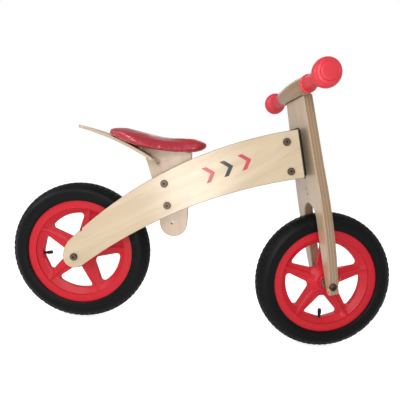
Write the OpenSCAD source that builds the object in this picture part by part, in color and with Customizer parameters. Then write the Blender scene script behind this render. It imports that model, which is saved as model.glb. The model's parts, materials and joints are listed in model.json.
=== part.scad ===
// Child's wooden balance bike: two plywood side panels, a plywood fork plank on a
// steering hinge, a seat board carrying an upholstered saddle, and two 12 inch wheels.
// +X is forward, +Y is the rider's left, +Z is up. Every length is in millimetres.

/* [Wheels] */
// distance between the two axles
wheel_base = 540; // [480:5:600]
// radius of the inflated tyre
tyre_r = 152.5; // [140:0.5:165]
// half the width of the tyre
tyre_half_w = 24; // [20:0.5:28]
// thickness of the tyre's rubber
tyre_wall = 3.5; // [2:0.5:5]
// radius of the rim's outer flange
rim_r = 114.3; // [105:0.1:120]
// half the width of the rim
rim_half_w = 16.2; // [14:0.1:20]
// number of spokes in each wheel
spoke_count = 5; // [3:1:8]
// width of one spoke
spoke_w = 26.4; // [18:1:32]
// outer radius of the windows between the spokes
window_r = 85.5; // [80:1:95]
// half the width of the hub
hub_half_w = 22; // [18:1:26]
// direction of one rear spoke at rest
rear_spoke_angle = 11; // [0:0.1:360]
// direction of one front spoke at rest
front_spoke_angle = 94.2; // [0:0.1:360]

/* [Steering] */
// backward lean of the steering axis
head_angle = 17; // [10:0.5:25]
// turn of the front end to the left at rest
steer_turn = 5.5; // [0:0.5:12]
// distance from the steering axis forward to the front axle
fork_rake = 13.5; // [10:0.5:40]
// thickness of the fork plank
fork_t = 20; // [15:1:24]
// half the width of the fork plank at its top
fork_top_half_w = 48; // [40:1:60]
// half the width of the fork plank at its shoulders
fork_max_half_w = 66; // [55:1:75]
// half the width of the slot for the wheel
slot_half_w = 29; // [26:1:34]
// height of the plank's top above the axle, along the steering axis
fork_top = 397; // [350:1:430]
// height of the handlebar's centre line above the axle
bar_height = 413; // [380:1:450]
// half the distance between the centres of the two grip balls
ball_y = 143; // [120:1:170]
// radius of each grip ball
ball_r = 25.5; // [20:0.5:30]

/* [Frame] */
// thickness of each side panel
panel_t = 12; // [9:1:15]
// half the gap between the side panels
panel_gap = 38.5; // [34:0.5:45]
// radius of the side panel's upper edge
panel_top_r = 860; // [700:10:1100]
// radius of the side panel's lower edge
panel_low_r = 1000; // [800:10:1200]
// radius of the side panel's rounded tail
tail_r = 24.3; // [20:0.1:30]
// thickness of the black plate on the front of the frame
plate_t = 2.6; // [2:0.1:4]

/* [Seat] */
// thickness of the seat board
board_t = 18; // [12:1:24]
// height of the seat board's top edge
board_top = 396; // [360:1:430]
// distance between two seat bolts, and so one step of seat height
seat_step = 45; // [30:1:60]
// radius of the bent handle's underside
handle_r = 480; // [400:5:600]
// thickness of the bent handle
handle_t = 6; // [4:0.5:9]
// half the width of the bent handle
handle_half_w = 45; // [30:1:60]

/* [Hidden] */
$fn = 96;
far = 400;
fit = 0.05;
touch = 0.01;

rear_x = -wheel_base / 2;
front_x = wheel_base / 2;
axis_x = front_x - fork_rake * cos(head_angle);
axis_z = tyre_r - fork_rake * sin(head_angle);
// the whole bike is moved so that the origin is under the middle of its bounding box
shift_x = -0.3;
shift_y = 1.2;

panel_y = panel_gap + panel_t;
knuckle_r = 4.2;
pin_r = 2;
plate_v = -(knuckle_r + 0.4);
edge_v = plate_v - plate_t;
plate_half_w = 46;
leaf_t = 2;
leaf_half_w = 13;
knob_edge_r = 12.5;
web_t = 9;
rib_w = 7;
spoke_taper = 6.3;
spoke_mid_r = 60;
leaf_v = knuckle_r + 0.4;
fork_v = leaf_v + leaf_t;
fork_mid_v = fork_v + fork_t / 2;
knuckle_w0 = 236;
knuckle_step = 20;
panel_low_w = 236;
panel_high_w = 334;
head_bolt_v = -32.7;
head_bolt_w = [254.2, 313.3];
seat_bolt_1 = [-97.8, 327.4];
seat_lean = 13.6;
seat_lean_dir = [sin(seat_lean), -cos(seat_lean)];
function seat_hole(i) = seat_bolt_1 + i * seat_step * seat_lean_dir;
board_foot = [-73.8, 240.5];
board_foot_r = 29.6;
base_t = 8;
panel_top_ends = [[-287.5, 181.5], [155, 466.5]];
panel_low_ends = [[-252.7, 134.2], [183.4, 373.2]];
handle_c = [-351.6, -56.1];
handle_lap_x = -134;
connector_r = 3;
connector_head_r = 7.5;
connector_head_t = 4;
axle_r = 4;
bearing_w = 7;
race_r = 11;
ball_track_r = 7.5;
bearing_ball_r = 1.95;
tube_c = tyre_r - 23;

wood = [0.86, 0.74, 0.53];
red = [0.80, 0.10, 0.14];
black = [0.05, 0.05, 0.05];
bronze = [0.42, 0.33, 0.25];
steel = [0.70, 0.70, 0.72];

// ---------- places ----------

// everything drawn inside has its origin on the ground between the wheels
module bike() {
  translate([-shift_x, -shift_y, 0]) children();
}

// local X forward, local Y left, local Z up along the steering axis, front end straight
module head_frame() {
  bike() translate([axis_x, 0, axis_z]) rotate([0, -head_angle, 0]) children();
}

// the same, turned with the front end
module fork_frame() {
  head_frame() rotate([0, 0, steer_turn]) children();
}

// local X forward, local Y up, local Z to the right, on an axle
module rear_wheel_frame() {
  bike() translate([rear_x, 0, tyre_r]) rotate([90, 0, 0]) children();
}

module front_wheel_frame() {
  fork_frame() translate([fork_rake, 0, 0])
    rotate([0, head_angle, 0]) rotate([90, 0, 0]) children();
}

// an upright drawing in X and Z, given thickness along Y from y0 to y1
module side_slab(y0, y1) {
  translate([0, y1, 0]) rotate([90, 0, 0]) linear_extrude(y1 - y0) children();
}

// a rod along Y
module y_rod(x, z, r, y0, y1) {
  translate([x, y0, z]) rotate([-90, 0, 0]) cylinder(r = r, h = y1 - y0);
}

module mirror_y() {
  children();
  mirror([0, 1, 0]) children();
}

// ---------- fasteners ----------

// flat round head with a hex socket, standing on the outer face at y = y_face,
// on the right of the bike, with its shank running left
module connector_bolt(y_face, shank_to, r, head_r, head_t) {
  difference() {
    union() {
      translate([0, -y_face - head_t, 0]) rotate([-90, 0, 0]) {
        cylinder(r1 = head_r - 0.8, r2 = head_r, h = 0.8);
        translate([0, 0, 0.8]) cylinder(r = head_r, h = head_t - 0.8);
      }
      y_rod(0, 0, r, -y_face - touch, shank_to);
    }
    translate([0, -y_face - head_t - touch, 0]) rotate([-90, 0, 0])
      cylinder(r = 2.3, h = 2.6, $fn = 6);
  }
}

// sleeve nut: the same head on the left side, with a barrel the shank screws into
module connector_nut(y_face, barrel_to, r, head_r, head_t) {
  difference() {
    union() {
      translate([0, y_face + head_t, 0]) rotate([90, 0, 0]) {
        cylinder(r1 = head_r - 0.8, r2 = head_r, h = 0.8);
        translate([0, 0, 0.8]) cylinder(r = head_r, h = head_t - 0.8);
      }
      y_rod(0, 0, r + 1.5, barrel_to, y_face + touch);
    }
    y_rod(0, 0, r + fit, barrel_to - 1, y_face - 1);
    translate([0, y_face + head_t + touch, 0]) rotate([90, 0, 0])
      cylinder(r = 2.3, h = 2.6, $fn = 6);
  }
}

// countersunk screw, head at the origin, point along -Z
module wood_screw(head_r, shank_r, len) {
  difference() {
    union() {
      translate([0, 0, -head_r + shank_r])
        cylinder(r1 = shank_r, r2 = head_r, h = head_r - shank_r);
      translate([0, 0, -len + 3]) cylinder(r = shank_r, h = len - 3);
      translate([0, 0, -len]) cylinder(r1 = 0.3, r2 = shank_r, h = 3);
    }
    translate([0, 0, -1]) cylinder(r = 1.2, h = 2, $fn = 6);
  }
}

// the hole a countersunk screw sits in
module wood_screw_hole(head_r, shank_r, len) {
  translate([0, 0, -head_r + shank_r - fit])
    cylinder(r1 = shank_r + fit, r2 = head_r + fit, h = head_r - shank_r);
  translate([0, 0, -fit - touch]) cylinder(r = head_r + fit, h = 2);
  translate([0, 0, -len - fit]) cylinder(r = shank_r + fit, h = len);
}

// ---------- frame ----------

// centre of the circle of radius r through both points, below and ahead of them
function arc_centre(ends, r) = let (
    d = ends[1] - ends[0],
    len = norm(d),
    side = [d[1], -d[0]] / len)
  (ends[0] + ends[1]) / 2 + side * sqrt(r * r - len * len / 4);

// outline of a side panel in X and Z: the strip between two large circles
module panel_outline() {
  top_c = arc_centre(panel_top_ends, panel_top_r);
  low_c = arc_centre(panel_low_ends, panel_low_r);
  difference() {
    union() {
      intersection() {
        difference() {
          translate(top_c) circle(r = panel_top_r, $fn = 360);
          translate(low_c) circle(r = panel_low_r, $fn = 360);
        }
        translate([rear_x + 12, 0]) square([far * 2, far * 2]);
      }
      translate([rear_x, tyre_r]) circle(r = tail_r);
      // the tail's back edge rises to meet the upper curve
      intersection() {
        translate(top_c) circle(r = panel_top_r, $fn = 360);
        polygon([[rear_x - tail_r, tyre_r], [rear_x, tyre_r - tail_r + 1],
          [rear_x + 13, tyre_r - 20.5], [rear_x + 20, tyre_r + 20],
          [rear_x + 20, tyre_r + 60], [rear_x - 8, tyre_r + 50],
          [rear_x - tail_r + 1.5, tyre_r + 15]]);
      }
    }
    // square front end, along the steering axis
    translate([axis_x, axis_z]) rotate(head_angle) translate([edge_v, -far]) square(far * 2);
  }
}

// a side panel lying between y0 and y0 + panel_t, with its bolt holes
module side_panel(y0, hole_r) {
  difference() {
    bike() side_slab(y0, y0 + panel_t) panel_outline();
    bike() for (i = [0, 1])
      y_rod(seat_hole(i)[0], seat_hole(i)[1], hole_r, y0 - 1, y0 + panel_t + 1);
    bike() y_rod(rear_x, tyre_r, hole_r + 1, y0 - 1, y0 + panel_t + 1);
    head_frame() for (w = head_bolt_w) y_rod(head_bolt_v, w, hole_r, y0 - 1, y0 + panel_t + 1);
  }
}

module left_side_panel() {
  color(wood) side_panel(panel_gap, connector_r + 1.5 + fit);
}

module right_side_panel() {
  color(wood) side_panel(-panel_y, connector_r + fit);
}

// solid wood block that joins the panels at the front
module head_block() {
  color(wood) head_frame() difference() {
    translate([edge_v - 46, -panel_gap, panel_low_w + 9]) cube([46, panel_gap * 2, 84]);
    for (w = head_bolt_w) y_rod(head_bolt_v, w, connector_r + fit, -panel_gap - 1, panel_gap + 1);
    plate_screws() wood_screw_hole(3.5, 2, 21);
  }
}

// places the four screws that hold the front plate, heads on its front face
module plate_screws() {
  for (y = [-30, 30], w = [258, 314])
    translate([plate_v, y, w]) rotate([0, 90, 0]) children();
}

// one knuckle of the hinge, with a lug reaching back (-1) or forward (1)
module knuckle(w, len, side) {
  difference() {
    union() {
      translate([0, 0, w]) cylinder(r = knuckle_r, h = len);
      translate([side > 0 ? 0 : -knuckle_r - 0.6, -knuckle_r, w])
        cube([knuckle_r + 0.6, knuckle_r * 2, len]);
    }
    translate([0, 0, w - 1]) cylinder(r = pin_r + fit, h = len + 2);
  }
}

// black steel plate across the front of the frame, with three hinge knuckles
module head_plate() {
  color(black) head_frame() {
    difference() {
      translate([edge_v, -plate_half_w, panel_low_w - 1])
        cube([plate_t, plate_half_w * 2, panel_high_w - panel_low_w + 4]);
      plate_screws() wood_screw_hole(3.5, 2, 21);
    }
    for (i = [0, 2, 4]) knuckle(knuckle_w0 + i * knuckle_step, knuckle_step - 0.3, -1);
  }
}

module head_plate_screws() {
  color(steel) head_frame() plate_screws() wood_screw(3.5, 2, 21);
}

module head_bolts() {
  color(bronze) head_frame() for (w = head_bolt_w) translate([head_bolt_v, 0, w])
    connector_bolt(panel_y, panel_gap + 4, connector_r, connector_head_r, connector_head_t);
}

module head_bolt_nuts() {
  color(bronze) head_frame() for (w = head_bolt_w) translate([head_bolt_v, 0, w])
    connector_nut(panel_y, panel_gap + 1, connector_r, connector_head_r, connector_head_t);
}

// the pin the front end turns on, with a head at its top
module steering_pin() {
  color(steel) head_frame() {
    translate([0, 0, knuckle_w0 - 3]) cylinder(r = pin_r, h = knuckle_step * 5 + 4);
    translate([0, 0, knuckle_w0 + knuckle_step * 5]) cylinder(r = knuckle_r, h = 2.5);
  }
}

// ---------- seat ----------

// the space a bent sheet takes up in side view: under is its lower radius
module handle_ring(under, over) {
  translate(handle_c) difference() {
    circle(r = over, $fn = 360);
    circle(r = under, $fn = 360);
  }
}

module seat_board() {
  color(wood) bike() difference() {
    union() {
      side_slab(-board_t / 2, board_t / 2) polygon([
        [-159, board_top],
        [-51, board_top],
        board_foot + [board_foot_r, 0],
        board_foot + [0, -board_foot_r / 2],
        board_foot - [board_foot_r, 0],
        [-131, 334],
        [-148, 374],
        [-156, 389]
      ]);
      y_rod(board_foot[0], board_foot[1], board_foot_r, -board_t / 2, board_t / 2);
    }
    // half lap for the bent handle
    side_slab(-board_t, board_t) intersection() {
      handle_ring(handle_r - touch, handle_r + handle_t + touch);
      translate([handle_lap_x - 100, 300]) square([100, 150]);
    }
    for (i = [0, 1, 2])
      y_rod(seat_hole(i)[0], seat_hole(i)[1], connector_r + 0.2, -board_t, board_t);
    for (x = saddle_screw_x) translate([x, 0, board_top]) cylinder(r = 1.8 + fit, h = 60, center = true);
  }
}

module seat_bolts() {
  color(bronze) bike() for (i = [0, 1]) translate([seat_hole(i)[0], 0, seat_hole(i)[1]])
    connector_bolt(panel_y, panel_gap + 4, connector_r, connector_head_r, connector_head_t);
}

module seat_bolt_nuts() {
  color(bronze) bike() for (i = [0, 1]) translate([seat_hole(i)[0], 0, seat_hole(i)[1]])
    connector_nut(panel_y, panel_gap + 1, connector_r, connector_head_r, connector_head_t);
}

// tubes round the seat bolts that keep the board in the middle of the frame
module seat_spacers() {
  color(steel) bike() mirror_y() for (i = [0, 1])
    translate([seat_hole(i)[0], board_t / 2, seat_hole(i)[1]]) rotate([-90, 0, 0]) difference() {
      cylinder(r = 7, h = panel_gap - board_t / 2);
      translate([0, 0, -1]) cylinder(r = connector_r + fit, h = panel_gap);
    }
}

// plan of the bent handle, seen from above: rounded rear corners and two rounded prongs
module handle_plan() {
  rear = -288;
  front = -116;
  corner = 22;
  prong_y = (handle_half_w + board_t / 2) / 2;
  prong_r = (handle_half_w - board_t / 2) / 2;
  difference() {
    union() {
      translate([rear + corner, -handle_half_w])
        square([front - prong_r - rear - corner, handle_half_w * 2]);
      translate([rear, -handle_half_w + corner]) square([corner, (handle_half_w - corner) * 2]);
      for (y = [-1, 1]) translate([rear + corner, y * (handle_half_w - corner)]) circle(r = corner);
      for (y = [-1, 1]) translate([front - prong_r, y * prong_y]) circle(r = prong_r);
    }
    // slot that fits round the seat board
    translate([handle_lap_x, -board_t / 2 - touch]) square([100, board_t + touch * 2]);
  }
}

module carry_handle() {
  color(wood) bike() intersection() {
    side_slab(-handle_half_w - 1, handle_half_w + 1) difference() {
      handle_ring(handle_r, handle_r + handle_t);
      translate([-900, -600]) square([1200, 900]);
    }
    translate([0, 0, 300]) linear_extrude(200) handle_plan();
  }
}

// board under the saddle, from z up by h: broad at the back, narrow at the nose
module saddle_slab(z, h) {
  rear_x = -128;
  rear_r = 46;
  nose_x = -78;
  nose_r = 20;
  lean = asin((rear_r - nose_r) / (nose_x - rear_x));
  side = [sin(lean), cos(lean)];
  translate([rear_x, 0, z]) cylinder(r = rear_r, h = h);
  translate([nose_x, 0, z]) cylinder(r = nose_r, h = h);
  translate([0, 0, z]) linear_extrude(h) polygon([
    [rear_x, 0] + rear_r * side,
    [nose_x, 0] + nose_r * side,
    [nose_x, 0] + nose_r * [side[0], -side[1]],
    [rear_x, 0] + rear_r * [side[0], -side[1]]
  ]);
}

module saddle_base() {
  color(wood) bike() difference() {
    union() saddle_slab(board_top, base_t);
    // the underside is cut back to lie on the bent handle
    side_slab(-60, 60) translate(handle_c) circle(r = handle_r + handle_t + touch, $fn = 360);
    for (x = saddle_screw_x) translate([x, 0, board_top + base_t]) wood_screw_hole(3.4, 1.8, 34);
  }
}

saddle_screw_x = [-115, -74];

module saddle_screws() {
  color(steel) bike() for (x = saddle_screw_x)
    translate([x, 0, board_top + base_t]) wood_screw(3.4, 1.8, 34);
}

// one rounded lump of padding
module lump(x, y, z, rx, ry, rz) {
  translate([x, y, z]) scale([rx, ry, rz]) sphere(r = 1, $fn = 40);
}

// padding and cover, dished between a high back and a long nose
module saddle_pad() {
  color(red) bike() difference() {
    union() {
      hull() {
        for (y = [-37, 37]) lump(-195.7, y, 414.3, 23, 29, 15.2);
        for (y = [-30, 30]) lump(-122, y, 406.5, 30, 32, 13.5);
      }
      hull() {
        for (y = [-30, 30]) lump(-122, y, 406.5, 30, 32, 13.5);
        lump(-55, 0, 411.8, 34, 31.4, 12.1);
      }
    }
    side_slab(-100, 100) translate(handle_c) circle(r = handle_r + handle_t + 0.3, $fn = 360);
    saddle_slab(board_top - 0.3, base_t + 0.6);
    translate([-240, -board_t / 2 - 0.3, 380]) cube([220, board_t + 0.6, board_top + 0.3 - 380]);
    translate([-240, -100, 380]) cube([240, 200, board_top - 1.5 - 380]);
  }
}

// wire staples that hold the cover to the underside of the saddle's board
module saddle_staples() {
  color(steel) bike() mirror_y() for (i = [0 : 2])
    translate([-105 - i * 13, 20 + i * 5, board_top - 2.8]) cube([9, 1.2, 1.2]);
}

// ---------- rear axle ----------

// tubes that hold the hub's inner races in the middle: boss first, then the full diameter
module axle_spacer(y0, y1) {
  rotate([90, 0, 0]) difference() {
    union() {
      translate([0, 0, y0]) cylinder(r = 6, h = 1);
      translate([0, 0, y0 + 1]) cylinder(r = 9, h = y1 - y0 - 1);
    }
    translate([0, 0, y0 - 1]) cylinder(r = axle_r + fit, h = y1 - y0 + 2);
  }
}

module on_rear_axle() {
  bike() translate([rear_x, 0, tyre_r]) children();
}

module on_front_axle() {
  fork_frame() translate([fork_rake, 0, 0]) children();
}

module rear_axle_bolt() {
  color(bronze) on_rear_axle() connector_bolt(panel_y, panel_gap + 3, axle_r, 7.5, 4.5);
}

module rear_axle_nut() {
  color(bronze) on_rear_axle() connector_nut_wide(panel_y);
}

// flanged nut on the left end of an axle
module connector_nut_wide(y_face) {
  difference() {
    union() {
      y_rod(0, 0, 7.5, y_face, y_face + 4.5);
      y_rod(0, 0, axle_r + 1.5, y_face - 10, y_face + touch);
    }
    y_rod(0, 0, axle_r + fit, y_face - 11, y_face - 1);
    translate([0, y_face + 4.5 + touch, 0]) rotate([90, 0, 0]) cylinder(r = 3, h = 3, $fn = 6);
  }
}

module rear_axle_spacers() {
  color(steel) on_rear_axle() mirror_y() axle_spacer(hub_half_w, panel_gap);
}

// ---------- wheels ----------

// ring bearings, one at each end of the hub, local Z along the axle
module both_bearings() {
  for (s = [-1, 1]) scale([1, 1, s]) translate([0, 0, hub_half_w - bearing_w]) children();
}

// half of a grooved bearing ring, swept from r0 to r1
module race(r0, r1) {
  rotate_extrude() difference() {
    translate([r0, 0]) square([r1 - r0, bearing_w]);
    translate([ball_track_r, bearing_w / 2]) circle(r = bearing_ball_r + fit, $fn = 48);
  }
}

module inner_races() {
  both_bearings() race(axle_r + fit, ball_track_r - 1.3);
}

module outer_races() {
  both_bearings() race(ball_track_r + 1.3, race_r - touch);
}

module bearing_balls() {
  both_bearings() {
    for (i = [0 : 6]) rotate(i * 360 / 7) translate([ball_track_r, 0, bearing_w / 2])
      sphere(r = bearing_ball_r, $fn = 32);
    // flat cage that joins the balls
    translate([0, 0, bearing_w / 2 - 0.5]) difference() {
      cylinder(r = ball_track_r + 0.8, h = 1);
      translate([0, 0, -1]) cylinder(r = ball_track_r - 0.8, h = 3);
    }
  }
}

// half the angle between two spokes
half_step = 180 / spoke_count;

// the windows' edges lie at this angle to the window's middle line, and would meet at window_tip
window_a = half_step + spoke_taper;
window_tip = spoke_mid_r * cos(half_step) + spoke_w / 2 * sin(half_step)
  - (spoke_mid_r * sin(half_step) - spoke_w / 2 * cos(half_step)) / tan(window_a);

// a corner's circle touches the window's edge this far along and across from its centre
function edge_point(c, r) = [c[0] - r * sin(window_a), c[1] + r * cos(window_a)];

function flip(p) = [p[0], -p[1]];

// the window's edges, from its rounded inner end to the rounded corners at c, and on through extra
module window_body(c, outer_f, extra) {
  inner_f = 12;
  inner = [window_tip + inner_f / sin(window_a), 0];
  p_in = edge_point(inner, inner_f);
  p_out = edge_point(c, outer_f);
  polygon(concat([p_in, p_out], extra, [flip(p_out), flip(p_in)]));
  translate(inner) circle(r = inner_f);
  for (corner = [c, flip(c)]) translate(corner) circle(r = outer_f);
}

// window between two spokes, its middle along X, with an outer edge on the rim's own circle
module window() {
  outer_f = 7;
  outer_c = window_r - outer_f;
  a = window_a - asin((outer_f + window_tip * sin(window_a)) / outer_c);
  c = outer_c * [cos(a), sin(a)];
  window_body(c, outer_f, [c, flip(c)]);
  // a little smaller, so that it crosses the corners' circles rather than only touching them
  intersection() {
    circle(r = window_r - 0.06);
    polygon([c * 0.9, c * 1.5, flip(c) * 1.5, flip(c) * 0.9]);
  }
}

// window that the valve stands in: its outer edge is two straight lines that meet at the valve
module valve_window() {
  outer_f = 6;
  v_a = 18;
  v_r = window_r + 3;
  k1 = v_r * cos(v_a) - outer_f;
  k2 = outer_f + window_tip * sin(window_a);
  c = [k1 * cos(window_a) + k2 * sin(v_a), k1 * sin(window_a) - k2 * cos(v_a)] / cos(window_a - v_a);
  v_point = c + outer_f * [cos(v_a), sin(v_a)];
  window_body(c, outer_f, [c, v_point, [v_r, 0], flip(v_point), flip(c)]);
}

// side view of the rib down the middle of each spoke, from the hub up the slope of the ring
module spoke_rib() {
  top = [[12, 15], [36, 8], [84, 6.6], [98.5, 13.8]];
  polygon([top[0], top[1], top[2], top[3], flip(top[3]), flip(top[2]), flip(top[1]), flip(top[0])]);
}

// moulded rim, spokes and hub in one, with a spoke at spoke_a and the valve opposite it
module rim(spoke_a) {
  difference() {
    union() {
      // channel for the tyre, and the stepped ring inside it
      rotate_extrude() {
        translate([98, -rim_half_w]) square([5, rim_half_w * 2]);
        for (s = [-1, 1]) scale([1, s]) translate([98, rim_half_w - 1.8])
          square([rim_r - 98, 1.8]);
        polygon([[83, -2.5], [98.5, -13], [101, -13], [101, 13], [98.5, 13], [83, 2.5]]);
      }
      translate([0, 0, -web_t / 2]) cylinder(r = 99, h = web_t);
      for (i = [0 : spoke_count - 1]) rotate([90, 0, spoke_a + i * 2 * half_step])
        translate([0, 0, -rib_w / 2]) linear_extrude(rib_w) spoke_rib();
      for (s = [-1, 1]) scale([1, 1, s]) translate([0, 0, web_t / 2 - 1])
        cylinder(r1 = 38, r2 = 18, h = 11);
      translate([0, 0, -hub_half_w]) cylinder(r = 17, h = hub_half_w * 2);
    }
    for (i = [0 : spoke_count - 1]) rotate(spoke_a + (i * 2 + 1) * half_step)
      translate([0, 0, -20]) linear_extrude(40) {
        if (i * 2 + 1 == spoke_count) valve_window();
        else window();
      }
    both_bearings() cylinder(r = race_r, h = bearing_w + 1);
    translate([0, 0, -30]) cylinder(r = 8.5, h = 60);
    // hole for the valve
    rotate(valve_angle(spoke_a)) translate([80, 0, 0]) rotate([0, 90, 0])
      cylinder(r = valve_r + 0.2, h = 30);
  }
}

valve_r = 3;

// the valve stands in the middle of the window half a turn round from the first spoke
function valve_angle(spoke_a) = spoke_a + (spoke_count - 1) / 2 * 2 * half_step + half_step;

// tyre cross-section, X is the radius
module tyre_profile() {
  section_c = tyre_r - tyre_half_w;
  difference() {
    translate([section_c, 0]) circle(r = tyre_half_w);
    translate([section_c, 0]) circle(r = tyre_half_w - tyre_wall);
    translate([section_c - tyre_half_w - 1, -far]) square([rim_r + 0.3 - section_c + tyre_half_w + 1, far * 2]);
  }
}

// one of the two beads held between the rim's flanges
module bead_profile() {
  polygon([[105.5, rim_half_w - 5.2], [rim_r + 2.5, rim_half_w - 3.6], [rim_r + 2.5, rim_half_w + 1.5],
    [rim_r + 0.3, rim_half_w + 1.5], [rim_r + 0.3, rim_half_w - 2], [105.5, rim_half_w - 2]]);
}

module tyre() {
  rotate_extrude($fn = 180) tyre_profile();
  for (s = [-1, 1]) scale([1, 1, s]) rotate_extrude($fn = 180) bead_profile();
}

module inner_tube() {
  rotate_extrude() translate([tube_c, 0]) difference() {
    circle(r = 17.5);
    circle(r = 16);
  }
}

// rubber valve stem, from the tube inward through the rim
module valve_stem(spoke_a) {
  rotate(valve_angle(spoke_a)) translate([76, 0, 0]) rotate([0, 90, 0]) {
    cylinder(r = valve_r, h = tube_c - 17.6 - 76);
    translate([0, 0, 27.2]) cylinder(r = 6, h = 2);
  }
}

module valve_cap(spoke_a) {
  rotate(valve_angle(spoke_a)) translate([69, 0, 0]) rotate([0, 90, 0])
    cylinder(r = valve_r + 0.5, h = 7 - touch);
}

module rear_inner_races() {
  color(steel) rear_wheel_frame() inner_races();
}

module rear_outer_races() {
  color(steel) rear_wheel_frame() outer_races();
}

module rear_bearing_balls() {
  color(steel) rear_wheel_frame() bearing_balls();
}

module rear_rim() {
  color(red) rear_wheel_frame() rim(rear_spoke_angle);
}

module rear_tyre() {
  color(black) rear_wheel_frame() tyre();
}

module rear_inner_tube() {
  color(black) rear_wheel_frame() inner_tube();
}

module rear_valve_stem() {
  color(black) rear_wheel_frame() valve_stem(rear_spoke_angle);
}

module rear_valve_cap() {
  color(black) rear_wheel_frame() valve_cap(rear_spoke_angle);
}

module front_inner_races() {
  color(steel) front_wheel_frame() inner_races();
}

module front_outer_races() {
  color(steel) front_wheel_frame() outer_races();
}

module front_bearing_balls() {
  color(steel) front_wheel_frame() bearing_balls();
}

module front_rim() {
  color(red) front_wheel_frame() rim(front_spoke_angle);
}

module front_tyre() {
  color(black) front_wheel_frame() tyre();
}

module front_inner_tube() {
  color(black) front_wheel_frame() inner_tube();
}

module front_valve_stem() {
  color(black) front_wheel_frame() valve_stem(front_spoke_angle);
}

module front_valve_cap() {
  color(black) front_wheel_frame() valve_cap(front_spoke_angle);
}

// ---------- front end ----------

// a drawing in the plank's own plane, X to the rider's left and Y up, given its thickness
module plank_slab(extra) {
  translate([fork_v - extra, 0, 0]) rotate([90, 0, 90]) linear_extrude(fork_t + extra * 2) children();
}

// fork plank without its holes: curved shoulders, tapering top, two round-footed legs
module fork_body() {
  side_r = 730;
  shoulder = 150;
  foot = -12;
  leg_y = (fork_leg_half_w + slot_half_w) / 2;
  leg_r = (fork_leg_half_w - slot_half_w) / 2;
  difference() {
    union() {
      plank_slab(0) intersection() {
        translate([fork_max_half_w - side_r, shoulder]) circle(r = side_r, $fn = 360);
        translate([side_r - fork_max_half_w, shoulder]) circle(r = side_r, $fn = 360);
        translate([-far, foot]) square([far * 2, 290 - foot]);
      }
      plank_slab(0) polygon([[-fork_top_half_w - 11, 250], [-fork_top_half_w, fork_top],
        [fork_top_half_w, fork_top], [fork_top_half_w + 11, 250]]);
      for (s = [-1, 1]) translate([fork_v, s * leg_y, foot]) rotate([0, 90, 0])
        cylinder(r = leg_r, h = fork_t);
    }
    plank_slab(1) translate([-slot_half_w, -60]) square([slot_half_w * 2, 60 + 146]);
    translate([fork_v - 1, 0, 146]) rotate([0, 90, 0]) cylinder(r = slot_half_w, h = fork_t + 2);
  }
}

fork_leg_half_w = 49;
axle_face = 49.5;

// places the four screws of the fork's hinge leaf, heads on its rear face
module leaf_screws() {
  for (y = [-8.5, 8.5], w = [246, 325])
    translate([leaf_v, y, w]) rotate([0, -90, 0]) children();
}

// places the pair of small screws below the hinge, heads on the plank's rear face
module cross_screws() {
  for (i = [-1, 1]) translate([fork_v, i * 2.5, 202 + i * 5]) rotate([0, -90, 0]) children();
}

module bar_screws() {
  for (y = [-24, 24]) translate([fork_mid_v, y, bar_height + 12]) children();
}

module fork_plank() {
  color(wood) fork_frame() difference() {
    fork_body();
    y_rod(fork_rake, 0, axle_r + 1.5 + fit, 0, 80);
    y_rod(fork_rake, 0, axle_r + fit, -80, 0);
    // flat seats for the head and the nut of the axle bolt
    for (s = [-1, 1]) scale([1, s, 1]) y_rod(fork_rake, 0, 8, axle_face, 80);
    leaf_screws() wood_screw_hole(3.3, 1.8, 16);
    cross_screws() wood_screw_hole(2.6, 1.5, 14);
    bar_screws() wood_screw_hole(5.5, 2.5, 66);
  }
}

// steel leaf on the back of the plank, with two hinge knuckles
module fork_leaf() {
  color(black) fork_frame() {
    difference() {
      translate([leaf_v, -leaf_half_w, 237]) cube([leaf_t, leaf_half_w * 2, 97]);
      leaf_screws() wood_screw_hole(3.3, 1.8, 16);
    }
    for (i = [1, 3]) knuckle(knuckle_w0 + i * knuckle_step, knuckle_step - 0.3, 1);
  }
}

module fork_leaf_screws() {
  color(steel) fork_frame() leaf_screws() wood_screw(3.3, 1.8, 16);
}

module fork_cross_screws() {
  color(steel) fork_frame() cross_screws() wood_screw(2.6, 1.5, 14);
}

module front_axle_bolt() {
  color(bronze) on_front_axle() connector_bolt(axle_face, 42, axle_r, 7.5, 4.5);
}

module front_axle_nut() {
  color(bronze) on_front_axle() connector_nut_wide(axle_face);
}

module front_axle_spacers() {
  color(steel) on_front_axle() mirror_y() axle_spacer(hub_half_w, slot_half_w);
}

// turned wooden bar, thickest in the middle, with thinner ends inside the grips
module handlebar() {
  mid_r = 21;
  end_r = 17;
  half = 66;
  steps = 12;
  bulge = [for (i = [-steps : steps]) [end_r + (mid_r - end_r) * (1 - pow(i / steps, 2)), i * half / steps]];
  color(wood) fork_frame() difference() {
    translate([fork_mid_v - 4, 0, bar_height]) rotate([90, 0, 0]) {
      rotate_extrude() polygon(concat([[0, -half]], bulge, [[0, half]]));
      translate([0, 0, -ball_y]) cylinder(r = 10, h = ball_y * 2);
    }
    // flat seat on the plank's top
    translate([-50, -fork_top_half_w - 2, fork_top - 30]) cube([100, fork_top_half_w * 2 + 4, 30]);
    bar_screws() wood_screw_hole(5.5, 2.5, 66);
    bar_screws() cylinder(r = 5.5 + fit, h = 20);
  }
}

module handlebar_screws() {
  color(steel) fork_frame() bar_screws() wood_screw(5.5, 2.5, 66);
}

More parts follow.
